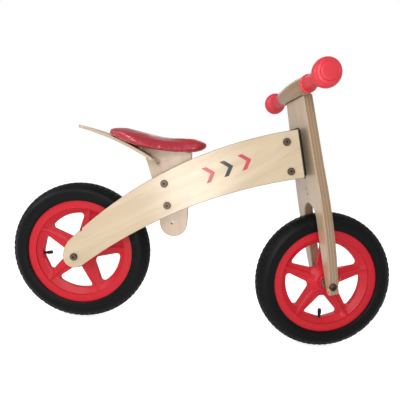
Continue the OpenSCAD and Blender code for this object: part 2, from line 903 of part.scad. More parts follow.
// soft grip with a flange at its inner end and a rounded safety knob at its outer end
module grip() {
  color(red) fork_frame() translate([fork_mid_v - 4, 0, bar_height]) rotate([-90, 0, 0])
    difference() {
      union() {
        translate([0, 0, 66.3]) cylinder(r = 17.5, h = 4);
        translate([0, 0, 66.3]) cylinder(r = 14, h = 70);
        translate([0, 0, ball_y]) rotate_extrude() translate([ball_r - knob_edge_r, 0])
          circle(r = knob_edge_r);
        translate([0, 0, ball_y - knob_edge_r]) cylinder(r = ball_r - knob_edge_r, h = knob_edge_r * 2);
        translate([0, 0, ball_y]) cylinder(r = 15, h = knob_edge_r + 1.5);
      }
      cylinder(r = 10 + touch, h = ball_y + touch);
    }
}

module left_grip() {
  grip();
}

module right_grip() {
  mirror_fork() grip();
}

// mirrors left and right about the fork's own middle plane
module mirror_fork() {
  fork_frame() mirror([0, 1, 0]) unfork_frame() children();
}

// undoes fork_frame
module unfork_frame() {
  rotate([0, 0, -steer_turn]) rotate([0, head_angle, 0]) translate([-axis_x, 0, -axis_z])
    translate([shift_x, shift_y, 0]) children();
}

// ---------- decoration ----------

// generic chevrons on the outer face of each side panel
module side_chevrons() {
  color(red) bike() mirror_y() for (i = [0 : 2])
    translate([-20 + i * 34, 0, 352 + i * 17]) side_slab(panel_y, panel_y + 0.3)
      rotate(26) polygon([[0, 16], [10, 16], [24, 0], [10, -16], [0, -16], [14, 0]]);
}

left_side_panel();
right_side_panel();
head_block();
head_plate();
head_plate_screws();
head_bolts();
head_bolt_nuts();
steering_pin();
seat_board();
seat_bolts();
seat_bolt_nuts();
seat_spacers();
carry_handle();
saddle_base();
saddle_pad();
saddle_staples();
saddle_screws();
rear_axle_bolt();
rear_axle_nut();
rear_axle_spacers();
rear_inner_races();
rear_rim();
rear_tyre();
rear_inner_tube();
rear_valve_stem();
rear_valve_cap();
rear_outer_races();
rear_bearing_balls();
fork_plank();
fork_leaf();
fork_leaf_screws();
fork_cross_screws();
front_axle_bolt();
front_axle_nut();
front_axle_spacers();
front_inner_races();
front_rim();
front_tyre();
front_inner_tube();
front_valve_stem();
front_valve_cap();
front_outer_races();
front_bearing_balls();
handlebar();
handlebar_screws();
left_grip();
right_grip();
side_chevrons();
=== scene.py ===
# %% [markdown]
# # A child's wooden balance bike
# A balance bike has two wheels, a saddle and a handlebar, but no pedals: the child walks it along.
# This one is plywood. Two curved side panels hold the rear wheel between their tails, a flat
# plywood plank is the fork, and a hinge at the front of the frame lets that plank turn.
# The measured model made in CAD is loaded first. Every piece made here is fitted to it, in metres.

# %% Load the measured model
import json
import math
import bmesh
import bpy
from mathutils import Matrix, Vector, noise


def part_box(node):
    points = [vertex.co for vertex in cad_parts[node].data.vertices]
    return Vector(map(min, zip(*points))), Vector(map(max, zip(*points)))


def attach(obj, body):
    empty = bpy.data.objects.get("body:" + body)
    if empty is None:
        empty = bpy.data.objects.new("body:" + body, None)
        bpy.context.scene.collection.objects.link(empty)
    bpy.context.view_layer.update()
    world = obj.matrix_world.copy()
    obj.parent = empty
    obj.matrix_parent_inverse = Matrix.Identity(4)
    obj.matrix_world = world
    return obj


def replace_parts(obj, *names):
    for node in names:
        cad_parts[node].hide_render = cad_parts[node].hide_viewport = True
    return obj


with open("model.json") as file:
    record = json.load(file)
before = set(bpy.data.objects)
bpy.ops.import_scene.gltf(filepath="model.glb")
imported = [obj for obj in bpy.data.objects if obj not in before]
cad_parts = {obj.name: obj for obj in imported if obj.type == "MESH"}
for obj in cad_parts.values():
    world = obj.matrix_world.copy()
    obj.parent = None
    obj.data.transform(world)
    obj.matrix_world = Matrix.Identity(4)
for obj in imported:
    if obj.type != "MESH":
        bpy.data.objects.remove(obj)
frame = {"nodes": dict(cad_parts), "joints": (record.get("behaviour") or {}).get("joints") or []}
nodes = frame["nodes"]
joints = {j["name"]: j for j in frame["joints"]}
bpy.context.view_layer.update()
print("pieces in the measured model:", len(nodes))

# %% [markdown]
# ## Places that the pieces share
# Three frames of reference do most of the work. The rear wheel turns about a line across the bike.
# The front end leans back 17 degrees and is parked turned a little to the left, so its pieces are
# easiest to make in the fork plank's own axes: forward, left, and up along the steering line.
# Reading these from the joints keeps every new piece on the line it has to turn about.

# %% Axes of the rear wheel, the front wheel and the fork plank
def frame_matrix(origin, forward, left, up):
    turned = Matrix((forward, left, up)).transposed().to_4x4()
    turned.translation = origin
    return turned

rear_axle = Vector(joints["rear_wheel_spin"]["pos_m"])
front_axle = Vector(joints["front_wheel_spin"]["pos_m"])
steer_up = Vector(joints["steering"]["axis"]).normalized()
fork_left = Vector(joints["front_wheel_spin"]["axis"]).normalized()
fork_forward = fork_left.cross(steer_up)
hinge_above_foot = 0.286
steer_foot = Vector(joints["steering"]["pos_m"]) - steer_up * hinge_above_foot

side = Vector((0, 1, 0))
bike_axes = Matrix.Identity(4)
fork_axes = frame_matrix(steer_foot, fork_forward, fork_left, steer_up)
rear_wheel_axes = Matrix.Translation(rear_axle)
lean = math.radians(17)
front_up = fork_axes.to_3x3() @ Vector((math.sin(lean), 0, math.cos(lean)))
front_wheel_axes = frame_matrix(front_axle, fork_left.cross(front_up), fork_left, front_up)
print("axle to axle:", round((front_axle - rear_axle).length, 4), "m")

# %% [markdown]
# ## From a bmesh to a finished piece
# A finished piece sits at the world's origin with its place in its mesh. One helper takes a bmesh,
# moves it into place, makes its faces point outwards, smooths what is round, keeps what is sharp,
# and lets the piece ride on the body that carries it. Weighted normals keep broad flat faces flat
# where a rounded edge runs into them.

# %% Helpers for finishing a piece
def close_up(bm):
    bmesh.ops.remove_doubles(bm, verts=bm.verts, dist=1e-6)
    bmesh.ops.recalc_face_normals(bm, faces=bm.faces)

def finish_piece(name, bm, body, material, axes=bike_axes, sharp=35, mend=True):
    bm.transform(axes)
    if mend:
        close_up(bm)
    mesh = bpy.data.meshes.new(name)
    bm.to_mesh(mesh)
    bm.free()
    mesh.polygons.foreach_set("use_smooth", [True] * len(mesh.polygons))
    mesh.set_sharp_from_angle(angle=math.radians(sharp))
    piece = bpy.data.objects.new(name, mesh)
    bpy.context.scene.collection.objects.link(piece)
    mesh.materials.append(material)
    weigh = piece.modifiers.new("flat faces stay flat", "WEIGHTED_NORMAL")
    weigh.keep_sharp = True
    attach(piece, body)
    print(name, len(mesh.polygons), "faces")
    return piece

def dress(node_name, material):
    piece = nodes[node_name]
    piece.data.materials.clear()
    piece.data.materials.append(material)

# %% [markdown]
# ## Node tools
# Materials here are small node graphs. A few short helpers keep the graphs readable: one adds a
# node and sets its values, the others do arithmetic. Shared effects are node groups, built once.

# %% Helpers for node graphs
def add_node(tree, kind, **settings):
    node = tree.nodes.new(kind)
    for key, value in settings.items():
        setattr(node, key, value)
    return node

def feed(tree, socket, value):
    if isinstance(value, bpy.types.NodeSocket):
        tree.links.new(value, socket)
    else:
        socket.default_value = value

def calc(tree, operation, a, b=0.0, c=0.0):
    node = add_node(tree, "ShaderNodeMath", operation=operation)
    for socket, value in zip(node.inputs, (a, b, c)):
        feed(tree, socket, value)
    return node.outputs[0]

def remap(tree, value, from_low, from_high, to_low, to_high, smooth=False):
    change = "SMOOTHSTEP" if smooth else "LINEAR"
    node = add_node(tree, "ShaderNodeMapRange", interpolation_type=change)
    for socket, number in zip(node.inputs, (value, from_low, from_high, to_low, to_high)):
        feed(tree, socket, number)
    return node.outputs[0]

def blend_colors(tree, amount, first, second):
    node = add_node(tree, "ShaderNodeMix", data_type="RGBA")
    feed(tree, node.inputs[0], amount)
    feed(tree, node.inputs[6], first)
    feed(tree, node.inputs[7], second)
    return node.outputs[2]

def stretch(tree, vector, amounts):
    node = add_node(tree, "ShaderNodeVectorMath", operation="MULTIPLY")
    feed(tree, node.inputs[0], vector)
    node.inputs[1].default_value = amounts
    return node.outputs[0]

def speckle(tree, vector, scale, detail=2.0, roughness=0.5, distortion=0.0):
    node = add_node(tree, "ShaderNodeTexNoise")
    feed(tree, node.inputs["Vector"], vector)
    node.inputs["Scale"].default_value = scale
    node.inputs["Detail"].default_value = detail
    node.inputs["Roughness"].default_value = roughness
    node.inputs["Distortion"].default_value = distortion
    return node.outputs["Fac"]

def new_group(name, inputs, outputs):
    group = bpy.data.node_groups.new(name, "ShaderNodeTree")
    for label, kind, default in inputs:
        socket = group.interface.new_socket(label, in_out="INPUT", socket_type=kind)
        if default is not None:
            socket.default_value = default
    for label, kind in outputs:
        group.interface.new_socket(label, in_out="OUTPUT", socket_type=kind)
    start = group.nodes.new("NodeGroupInput")
    end = group.nodes.new("NodeGroupOutput")
    return group, start.outputs, end.inputs

def place_group(tree, group, **values):
    node = add_node(tree, "ShaderNodeGroup", node_tree=group)
    for label, value in values.items():
        feed(tree, node.inputs[label.replace("_", " ")], value)
    return node.outputs

def new_material(name, **plain):
    material = bpy.data.materials.new(name)
    material.use_nodes = True
    tree = material.node_tree
    shader = tree.nodes["Principled BSDF"]
    for label, value in plain.items():
        shader.inputs[label.replace("_", " ")].default_value = value
    return material, tree, shader

def bump(tree, shader, height, strength, distance):
    node = add_node(tree, "ShaderNodeBump")
    node.inputs["Strength"].default_value = strength
    node.inputs["Distance"].default_value = distance
    feed(tree, node.inputs["Height"], height)
    tree.links.new(node.outputs["Normal"], shader.inputs["Normal"])

def object_coords(tree, axes=None):
    coords = add_node(tree, "ShaderNodeTexCoord").outputs["Object"]
    if axes is None:
        return coords
    back = axes.inverted()
    mapping = add_node(tree, "ShaderNodeMapping", vector_type="POINT")
    mapping.inputs["Location"].default_value = back.translation
    mapping.inputs["Rotation"].default_value = back.to_euler("XYZ")
    tree.links.new(coords, mapping.inputs["Vector"])
    return mapping.outputs["Vector"]

# %% [markdown]
# ## Wood grain
# Birch is pale and quiet: broad bands a few centimetres wide, fine fibres, and small dark flecks,
# all drawn out along the length of the board. Noise does this if its coordinates are squeezed along
# one axis, here the local Z of the board. The same group serves the plywood and the solid wood.

# %% Group: wood grain running along Z
grain_group, grain_in, grain_out = new_group(
    "wood grain",
    [("Vector", "NodeSocketVector", None), ("Light", "NodeSocketColor", (0.78, 0.6, 0.4, 1)),
     ("Dark", "NodeSocketColor", (0.6, 0.4, 0.22, 1)), ("Contrast", "NodeSocketFloat", 1.0)],
    [("Color", "NodeSocketColor"), ("Height", "NodeSocketFloat"), ("Roughness", "NodeSocketFloat")])
bands = speckle(grain_group, stretch(grain_group, grain_in["Vector"], (1, 1, 0.12)), 26, 3, 0.55, 1.2)
clouds = speckle(grain_group, stretch(grain_group, grain_in["Vector"], (1, 1, 0.4)), 9, 2, 0.5)
fibres = speckle(grain_group, stretch(grain_group, grain_in["Vector"], (1, 1, 0.03)), 900, 2, 0.6)
flecks = speckle(grain_group, stretch(grain_group, grain_in["Vector"], (1, 1, 0.1)), 520, 1, 0.5)
band_mask = remap(grain_group, bands, 0.36, 0.66, 0, 1, smooth=True)
cloud_mask = remap(grain_group, clouds, 0.36, 0.66, 0, 1, smooth=True)
mixed = calc(grain_group, "ADD", calc(grain_group, "MULTIPLY", band_mask, 0.55),
             calc(grain_group, "MULTIPLY", cloud_mask, 0.4))
mixed = calc(grain_group, "ADD", mixed, remap(grain_group, fibres, 0.3, 0.7, -0.14, 0.14))
fleck_mask = remap(grain_group, flecks, 0.66, 0.72, 0, 0.3, smooth=True)
mixed = calc(grain_group, "MULTIPLY", calc(grain_group, "ADD", mixed, fleck_mask), grain_in["Contrast"])
mixed = calc(grain_group, "MAXIMUM", calc(grain_group, "MINIMUM", mixed, 1.0), 0.0)
feed(grain_group, grain_out["Color"],
     blend_colors(grain_group, mixed, grain_in["Light"], grain_in["Dark"]))
feed(grain_group, grain_out["Height"], calc(grain_group, "MULTIPLY", fibres, 0.5))
feed(grain_group, grain_out["Roughness"], remap(grain_group, fibres, 0.2, 0.8, 0.26, 0.42))

# %% [markdown]
# ## Plywood
# Plywood is thin veneers glued with their grain turned each time. Its faces show long grain, its
# edges show stripes: pale veneers, darker end grain between them, and thin dark glue lines.
# It is simplest to colour it as a solid block. The local X runs through the thickness, so the layer
# number is just X divided by the veneer's thickness. Faces and edges then come out right by
# themselves, and the stripes also wrap round the rounded edges as they do on a sanded board.

# %% Group: plywood layers through X
ply_group, ply_in, ply_out = new_group(
    "plywood layers",
    [("Vector", "NodeSocketVector", None), ("Depth", "NodeSocketFloat", 0.0),
     ("Thickness", "NodeSocketFloat", 0.012), ("Layers", "NodeSocketFloat", 9.0),
     ("Soak", "NodeSocketFloat", 0.5), ("Light", "NodeSocketColor", (0.8, 0.62, 0.42, 1)),
     ("Dark", "NodeSocketColor", (0.62, 0.42, 0.24, 1))],
    [("Color", "NodeSocketColor"), ("Height", "NodeSocketFloat"), ("Roughness", "NodeSocketFloat")])
layer = calc(ply_group, "MULTIPLY",
             calc(ply_group, "DIVIDE", ply_in["Depth"], ply_in["Thickness"]), ply_in["Layers"])
wander = speckle(ply_group, stretch(ply_group, ply_in["Vector"], (1, 1, 0.3)), 40, 2)
layer = calc(ply_group, "ADD", layer, remap(ply_group, wander, 0, 1, -0.12, 0.12))
layer = calc(ply_group, "MAXIMUM", layer, 0.02)
layer = calc(ply_group, "MINIMUM", layer, calc(ply_group, "SUBTRACT", ply_in["Layers"], 0.02))
within = calc(ply_group, "FRACT", layer)
odd = calc(ply_group, "MODULO", calc(ply_group, "FLOOR", layer), 2.0)
to_glue = calc(ply_group, "MINIMUM", within, calc(ply_group, "SUBTRACT", 1.0, within))
glue = remap(ply_group, to_glue, 0.03, 0.1, 0.75, 0, smooth=True)
long_grain = place_group(ply_group, grain_group, Vector=ply_in["Vector"], Light=ply_in["Light"],
                         Dark=ply_in["Dark"], Contrast=0.8)
pores = speckle(ply_group, ply_in["Vector"], 1400, 2, 0.6)
end_grain = blend_colors(ply_group, remap(ply_group, pores, 0.3, 0.7, 0, 1),
                         (0.50, 0.30, 0.15, 1), (0.34, 0.18, 0.08, 1))
body_color = blend_colors(ply_group, calc(ply_group, "MULTIPLY", odd, 0.7), long_grain["Color"], end_grain)
# glue lines belong to edges only, so the first and last layers keep clean outer faces
inner = calc(ply_group, "MULTIPLY", remap(ply_group, layer, 0.3, 0.6, 0, 1),
             remap(ply_group, calc(ply_group, "SUBTRACT", ply_in["Layers"], layer), 0.3, 0.6, 0, 1))
glue = calc(ply_group, "MULTIPLY", glue, inner)
# edges are browner than the faces from the first rounding on: everything deeper than a fraction of a
# millimetre into the board is mixed towards brown
below = calc(ply_group, "MINIMUM", ply_in["Depth"],
             calc(ply_group, "SUBTRACT", ply_in["Thickness"], ply_in["Depth"]))
browned_edges = calc(ply_group, "MULTIPLY", remap(ply_group, below, 0.00008, 0.0003, 0, 1), ply_in["Soak"])
body_color = blend_colors(ply_group, browned_edges, body_color, (0.15, 0.078, 0.038, 1))
feed(ply_group, ply_out["Color"], blend_colors(ply_group, glue, body_color, (0.10, 0.05, 0.025, 1)))
feed(ply_group, ply_out["Height"], calc(ply_group, "SUBTRACT", long_grain["Height"],
                                        calc(ply_group, "MULTIPLY", glue, 0.6)))
feed(ply_group, ply_out["Roughness"], calc(ply_group, "ADD", long_grain["Roughness"],
                                           calc(ply_group, "MULTIPLY", odd, 0.12)))

# %% Materials: plywood boards, each with its own axes
birch_light = (0.69, 0.55, 0.375, 1)
birch_dark = (0.51, 0.375, 0.225, 1)

def plywood(name, axes, thickness, layers, light=birch_light, dark=birch_dark, depth=None, edge_browning=0.85):
    material, tree, shader = new_material(name, Coat_Weight=1.0, Coat_Roughness=0.25)
    coords = object_coords(tree, axes)
    if depth is None:
        split = add_node(tree, "ShaderNodeSeparateXYZ")
        tree.links.new(coords, split.inputs[0])
        depth = split.outputs["X"]
    else:
        depth = depth(tree)
    ply = place_group(tree, ply_group, Vector=coords, Depth=depth, Thickness=thickness,
                      Layers=float(layers), Soak=edge_browning, Light=light, Dark=dark)
    tree.links.new(ply["Color"], shader.inputs["Base Color"])
    tree.links.new(ply["Roughness"], shader.inputs["Roughness"])
    bump(tree, shader, ply["Height"], 0.25, 0.0004)
    return material

def board_axes(corner, through, along):
    along = along.normalized()
    through = through.normalized()
    return frame_matrix(corner, through, along.cross(through), along)

def upright_ply(name, node_name, along, thickness, layers, **looks):
    corner = Vector((0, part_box(node_name)[0].y, 0))
    return plywood(name, board_axes(corner, side, along), thickness, layers, **looks)

panel_run = Vector((0.84, 0, 0.543))
seat_run = Vector((-0.24, 0, 0.97))
left_ply = upright_ply("left panel plywood", "left_side_panel", panel_run,
                       thickness=0.012, layers=9)
right_ply = upright_ply("right panel plywood", "right_side_panel", panel_run,
                        thickness=0.012, layers=9)
# the seat board's darker, pinker colours are painted shade: the board stands in the shade between the side
# panels
seat_ply_painted_shade = upright_ply("seat board plywood with painted shade", "seat_board", seat_run, thickness=0.018, layers=13,
                       light=(0.68, 0.50, 0.345, 1), dark=(0.52, 0.36, 0.23, 1))
fork_back_forward = 0.0066
fork_back = fork_axes @ Vector((fork_back_forward, 0, 0))
fork_ply = plywood("fork plank plywood", board_axes(fork_back, fork_forward, steer_up),
                   thickness=0.020, layers=7, light=(0.66, 0.50, 0.335, 1),
                   dark=(0.50, 0.35, 0.215, 1), edge_browning=0.42)
print("plywood boards:", [m.name for m in (left_ply, right_ply, seat_ply_painted_shade, fork_ply)])

# %% [markdown]
# ## The bent handle's plywood
# The handle is a sheet of thin plywood bent round a large circle, so its layers follow that circle.
# The depth into the sheet is the distance from the circle's centre line less its inner radius.

# %% Material: bent plywood
handle_centre = Vector((-0.3513, 0, -0.0561))
handle_inner_r = 0.480
handle_thickness = 0.006

def bent_depth(tree):
    coords = object_coords(tree)
    away = add_node(tree, "ShaderNodeVectorMath", operation="SUBTRACT")
    tree.links.new(coords, away.inputs[0])
    away.inputs[1].default_value = handle_centre
    flat = stretch(tree, away.outputs[0], (1, 0, 1))
    length = add_node(tree, "ShaderNodeVectorMath", operation="LENGTH")
    tree.links.new(flat, length.inputs[0])
    return calc(tree, "SUBTRACT", length.outputs["Value"], handle_inner_r)

handle_axes = board_axes(Vector(), Vector((0.3, 0, 1)), Vector((1, 0, -0.3)))
handle_ply = plywood("bent handle plywood", handle_axes, handle_thickness, layers=1,
                     depth=bent_depth, edge_browning=0.22)
print("handle plywood is", handle_thickness * 1000, "mm thick")

# %% [markdown]
# ## Solid wood
# The handlebar and the head block are solid hardwood, a little browner than the birch and oiled.

# %% Material: solid wood with its grain along a given direction
def solid_wood(name, along, light=(0.43, 0.285, 0.155, 1), dark=(0.29, 0.17, 0.085, 1)):
    material, tree, shader = new_material(name, Coat_Weight=0.3, Coat_Roughness=0.2)
    across = Vector((1, 0, 0)) if abs(along.x) < 0.7 else Vector((0, 0, 1))
    coords = object_coords(tree, board_axes(Vector(), across.cross(along), along))
    grain = place_group(tree, grain_group, Vector=coords, Light=light, Dark=dark, Contrast=1.0)
    tree.links.new(grain["Color"], shader.inputs["Base Color"])
    tree.links.new(grain["Roughness"], shader.inputs["Roughness"])
    bump(tree, shader, grain["Height"], 0.3, 0.0004)
    return material

bar_wood = solid_wood("turned beech", fork_left)
block_wood = solid_wood("head block beech", side, (0.62, 0.45, 0.28, 1), (0.48, 0.31, 0.17, 1))
print("solid wood made")

# %% [markdown]
# ## Wear and dust
# Moulded plastic and painted metal get the same two effects: a fine uneven gloss from handling, and
# a faint dust that settles on surfaces that face up. Both come from one group, each material with
# its own amounts.

# %% Group: handling and dust
wear_group, wear_in, wear_out = new_group(
    "handling and dust",
    [("Vector", "NodeSocketVector", None), ("Color", "NodeSocketColor", (0.5, 0.5, 0.5, 1)),
     ("Roughness", "NodeSocketFloat", 0.4), ("Amount", "NodeSocketFloat", 0.1)],
    [("Color", "NodeSocketColor"), ("Roughness", "NodeSocketFloat"), ("Height", "NodeSocketFloat")])
smears = speckle(wear_group, wear_in["Vector"], 32, 4, 0.6, 0.8)
fine = speckle(wear_group, wear_in["Vector"], 1700, 2, 0.5)
normal = add_node(wear_group, "ShaderNodeNewGeometry").outputs["Normal"]
facing = add_node(wear_group, "ShaderNodeSeparateXYZ")
wear_group.links.new(normal, facing.inputs[0])
settled = calc(wear_group, "MULTIPLY", remap(wear_group, facing.outputs["Z"], 0.3, 1.0, 0, 1),
               remap(wear_group, smears, 0.4, 0.75, 0, 1, smooth=True))
settled = calc(wear_group, "MULTIPLY", settled, wear_in["Amount"])
feed(wear_group, wear_out["Color"],
     blend_colors(wear_group, settled, wear_in["Color"], (0.5, 0.46, 0.4, 1)))
feed(wear_group, wear_out["Roughness"], calc(
    wear_group, "ADD", wear_in["Roughness"], remap(wear_group, smears, 0.3, 0.8, -0.04, 0.1)))
feed(wear_group, wear_out["Height"], fine)

# %% Materials: plastics, rubbers and metals
def moulded(name, color, roughness, dust, grain, **plain):
    material, tree, shader = new_material(name, **plain)
    wear = place_group(tree, wear_group, Vector=object_coords(tree), Color=color,
                       Roughness=roughness, Amount=dust)
    tree.links.new(wear["Color"], shader.inputs["Base Color"])
    tree.links.new(wear["Roughness"], shader.inputs["Roughness"])
    bump(tree, shader, wear["Height"], grain, 0.0003)
    return material

rim_red = moulded("moulded red nylon", (0.60, 0.010, 0.022, 1), 0.38, 0.05, 0.12,
                  Specular_IOR_Level=0.35)
grip_red = moulded("red grip rubber", (0.72, 0.030, 0.050, 1), 0.45, 0.04, 0.02,
                   Coat_Weight=0.4, Coat_Roughness=0.38)
tyre_black = moulded("tyre rubber", (0.003, 0.0035, 0.004, 1), 0.42, 0.015, 0.3,
                     Specular_IOR_Level=0.16)
valve_black = moulded("valve rubber", (0.006, 0.006, 0.006, 1), 0.5, 0.03, 0.15,
                      Specular_IOR_Level=0.3)
bronze = moulded("bronze plated steel", (0.13, 0.09, 0.066, 1), 0.4, 0.03, 0.08, Metallic=0.6)
zinc = moulded("zinc plated steel", (0.62, 0.62, 0.63, 1), 0.3, 0.05, 0.08, Metallic=1.0)
zinc_dull = moulded("weathered zinc", (0.30, 0.28, 0.25, 1), 0.35, 0.05, 0.08, Metallic=0.9)
# black hinge steel; on the head plate, seen through the gap in front of the panels, this black also stands
# in for the shadow in that gap, as painted shade
black_steel_and_gap_shade = moulded("black powder coat with painted gap shade", (0.016, 0.016, 0.017, 1), 0.45, 0.1, 0.35)

# three marks: the two outer ones red, the middle one dark grey
film, tree, shader = new_material("printed film", Coat_Weight=0.3)
first_mark, last_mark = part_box("side_chevrons")
along = add_node(tree, "ShaderNodeSeparateXYZ")
tree.links.new(object_coords(tree), along.inputs[0])
place = remap(tree, along.outputs["X"], first_mark.x, last_mark.x, 0, 3)
middle = calc(tree, "COMPARE", place, 1.5, 0.5)
wear = place_group(tree, wear_group, Vector=object_coords(tree), Roughness=0.4, Amount=0.03,
                   Color=blend_colors(tree, middle, (0.56, 0.06, 0.085, 1), (0.035, 0.038, 0.042, 1)))
tree.links.new(wear["Color"], shader.inputs["Base Color"])
tree.links.new(wear["Roughness"], shader.inputs["Roughness"])
print("moulded materials made")

# %% [markdown]
# ## Glossy vinyl
# The saddle's cover is soft vinyl: a deep red with a wet-looking gloss over a very fine leather-like
# pebble. Voronoi cells make the pebble, and slow noise makes the slight ripples of a tight cover.

# %% Material: saddle vinyl
vinyl, tree, shader = new_material("glossy saddle vinyl", Coat_Weight=0.8, Coat_Roughness=0.16)
coords = object_coords(tree)
wear = place_group(tree, wear_group, Vector=coords, Color=(0.44, 0.010, 0.024, 1),
                   Roughness=0.34, Amount=0.015)
pebble = add_node(tree, "ShaderNodeTexVoronoi", feature="F1")
pebble.inputs["Scale"].default_value = 900
tree.links.new(coords, pebble.inputs["Vector"])
ripples = speckle(tree, stretch(tree, coords, (1, 0.6, 1)), 55, 2)
tree.links.new(blend_colors(tree, remap(tree, ripples, 0.35, 0.7, 0, 0.35), wear["Color"],
                            (0.30, 0.008, 0.02, 1)), shader.inputs["Base Color"])
tree.links.new(wear["Roughness"], shader.inputs["Roughness"])
height = calc(tree, "ADD", calc(tree, "MULTIPLY", pebble.outputs["Distance"], 0.12),
              calc(tree, "MULTIPLY", ripples, 1.0))
bump(tree, shader, height, 0.35, 0.0012)
print("vinyl made")

# %% Plain dressing of the CAD pieces that keep their shape
finishes = {
    "head_block": block_wood, "handlebar": bar_wood, "saddle_base": seat_ply_painted_shade,
    "head_plate": black_steel_and_gap_shade, "fork_leaf": black_steel_and_gap_shade, "side_chevrons": film,
    "carry_handle": handle_ply, "seat_board": seat_ply_painted_shade, "fork_plank": fork_ply,
    "left_side_panel": left_ply, "right_side_panel": right_ply,
    "rear_rim": rim_red, "front_rim": rim_red, "left_grip": grip_red, "right_grip": grip_red,
    "saddle_pad": vinyl, "fork_cross_screws": zinc_dull, "fork_leaf_screws": zinc_dull,
    "head_bolts": bronze, "head_bolt_nuts": bronze, "seat_bolts": bronze, "seat_bolt_nuts": bronze,
}
family_finishes = (("tyre", tyre_black), ("tube", valve_black), ("valve", valve_black),
                   ("axle_spacers", bronze), ("_axle_bolt", bronze), ("_axle_nut", bronze))
for part_name in nodes:
    of_its_family = next((look for word, look in family_finishes if word in part_name), zinc)
    dress(part_name, finishes.get(part_name, of_its_family))
print("dressed", len(nodes), "measured pieces")

# %% [markdown]
# ## Boards with softened edges
# The plywood boards are cut to shape and then sanded, so every edge is a little round. A copy of the
# measured board keeps its exact outline. Its loose triangles are merged, flat triangles are joined
# into whole faces, and then only the long outline edges are bevelled. Small bolt holes stay crisp.

# %% Helpers: parts of a mesh that hang together, and the box round them
def connected(parts, neighbours):
    waiting = set(parts)
    while waiting:
        group = [waiting.pop()]
        for part in group:
            for near in neighbours(part):
                if near in waiting:
                    waiting.discard(near)
                    group.append(near)
        yield group

def box_round(parts):
    columns = list(zip(*(v.co for part in parts for v in part.verts)))
    return Vector(map(min, columns)), Vector(map(max, columns))

# %% Helpers: a merged copy of a measured piece, and one with its outline edges rounded
same_spot = 2e-6
nearly_flat = math.radians(0.8)

def merged_copy(node_name):
    bm = bmesh.new()
    bm.from_mesh(nodes[node_name].data)
    bmesh.ops.remove_doubles(bm, verts=bm.verts, dist=same_spot)
    return bm

def softened_copy(node_name, radius, segments=3, smallest=0.025, angle=50):
    bm = merged_copy(node_name)
    bmesh.ops.dissolve_limit(bm, angle_limit=nearly_flat, verts=bm.verts, edges=bm.edges)
    limit = math.radians(angle)
    folded = [e for e in bm.edges if e.is_manifold and e.calc_face_angle(0) > limit]
    chosen = []
    for run in connected(folded, lambda edge: (e for v in edge.verts for e in v.link_edges)):
        low, high = box_round(run)
        if (high - low).length > smallest:
            chosen += run
    bmesh.ops.bevel(bm, geom=chosen, offset=radius, offset_type="OFFSET", segments=segments,
                    profile=0.5, affect="EDGES", clamp_overlap=False, material=-1)
    return bm

def soften(node_name, name, body, material, slot, radius, **options):
    piece = finish_piece(name, softened_copy(node_name, radius, **options), body, material, mend=False)
    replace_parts(piece, node_name)
    return piece

# %% Side panels, seat board, carry handle and fork plank
soften("left_side_panel", "left_panel_sanded", "frame", left_ply, "birch_wood", 0.0016)
soften("right_side_panel", "right_panel_sanded", "frame", right_ply, "birch_wood", 0.0016)
soften("seat_board", "seat_post_sanded", "frame", seat_ply_painted_shade, "birch_wood", 0.0014, smallest=0.06)
soften("carry_handle", "bent_handle_sanded", "frame", handle_ply, "birch_wood", 0.0008, segments=2)
soften("fork_plank", "fork_plank_sanded", "front_end", fork_ply, "birch_wood", 0.0026, segments=4,
       smallest=0.06)

# %% [markdown]
# ## Bolt heads
# The frame is held by connector bolts with broad flat heads and hex sockets, plated a brown bronze.
# Pressed heads have a rolled edge, so the head's outline is bevelled and the socket stays sharp.
# The socket and the rolled edge get a dark second material: painted shade for the dark in the recess and
# on the edge that turns away.

# %% Bolts and nuts with rolled edges
# painted shade: a near-black material for the faces in the hex sockets and round the rolled edges
painted_socket_shade = moulded("painted shade in sockets and edges", (0.012, 0.009, 0.008, 1), 0.7, 0.0, 0.1)
socket_reach = 0.45
edge_reach = 0.85
below_face = 0.0004

def paint_shade_in_recesses(piece):
    mesh = piece.data
    mesh.materials.append(painted_socket_shade)
    bm = bmesh.new()
    bm.from_mesh(mesh)
    for bolt in connected(bm.faces, lambda face: (f for e in face.edges for f in e.link_faces)):
        low, high = box_round(bolt)
        middle = (low + high) / 2
        reach = (high.x - low.x) / 2
        for face in bolt:
            spot = face.calc_center_median()
            away = math.hypot(spot.x - middle.x, spot.z - middle.z)
            depth = min(high.y - spot.y, spot.y - low.y)
            flat = abs(face.normal.y) > 0.95
            in_socket = away < socket_reach * reach and (not flat or depth > below_face)
            on_edge = not flat and away > edge_reach * reach
            # faces in the socket or on the rolled edge take the dark material, as painted shade
            face.material_index = int(in_socket or on_edge)
    bm.to_mesh(mesh)
    bm.free()

bolt_bodies = {"head_bolts": "frame", "head_bolt_nuts": "frame", "seat_bolts": "frame",
               "seat_bolt_nuts": "frame", "rear_axle_bolt": "frame", "rear_axle_nut": "frame",
               "front_axle_bolt": "front_end", "front_axle_nut": "front_end"}
for bolt_name, body in bolt_bodies.items():
    paint_shade_in_recesses(soften(bolt_name, bolt_name + "_rolled", body, bronze, "bronze_steel", 0.0006,
                           segments=2, smallest=0.012, angle=30))

# %% [markdown]
# ## Tyres
# A pneumatic tyre is one cross-section spun round the axle. The section is drawn once: an outer skin
# from bead to bead, a hook at each bead that sits inside the rim's flange, and an inner skin.
# The tread is a pattern of small blocks, so after the spin the faces of the tread are inset and
# raised one by one, and every other face in a row is left as the gap between blocks.

# %% Helper: an outline turned once round an axis
def spun(points, steps, axis=(0, 1, 0), closed=False):
    bm = bmesh.new()
    ring = [bm.verts.new(point) for point in points]
    partners = ring[1:] + ring[:1] if closed else ring[1:]
    edges = [bm.edges.new(pair) for pair in zip(ring, partners)]
    bmesh.ops.spin(bm, geom=ring + edges, cent=(0, 0, 0), axis=axis, angle=math.tau,
                   steps=steps, use_merge=True, use_duplicate=False)
    close_up(bm)
    return bm

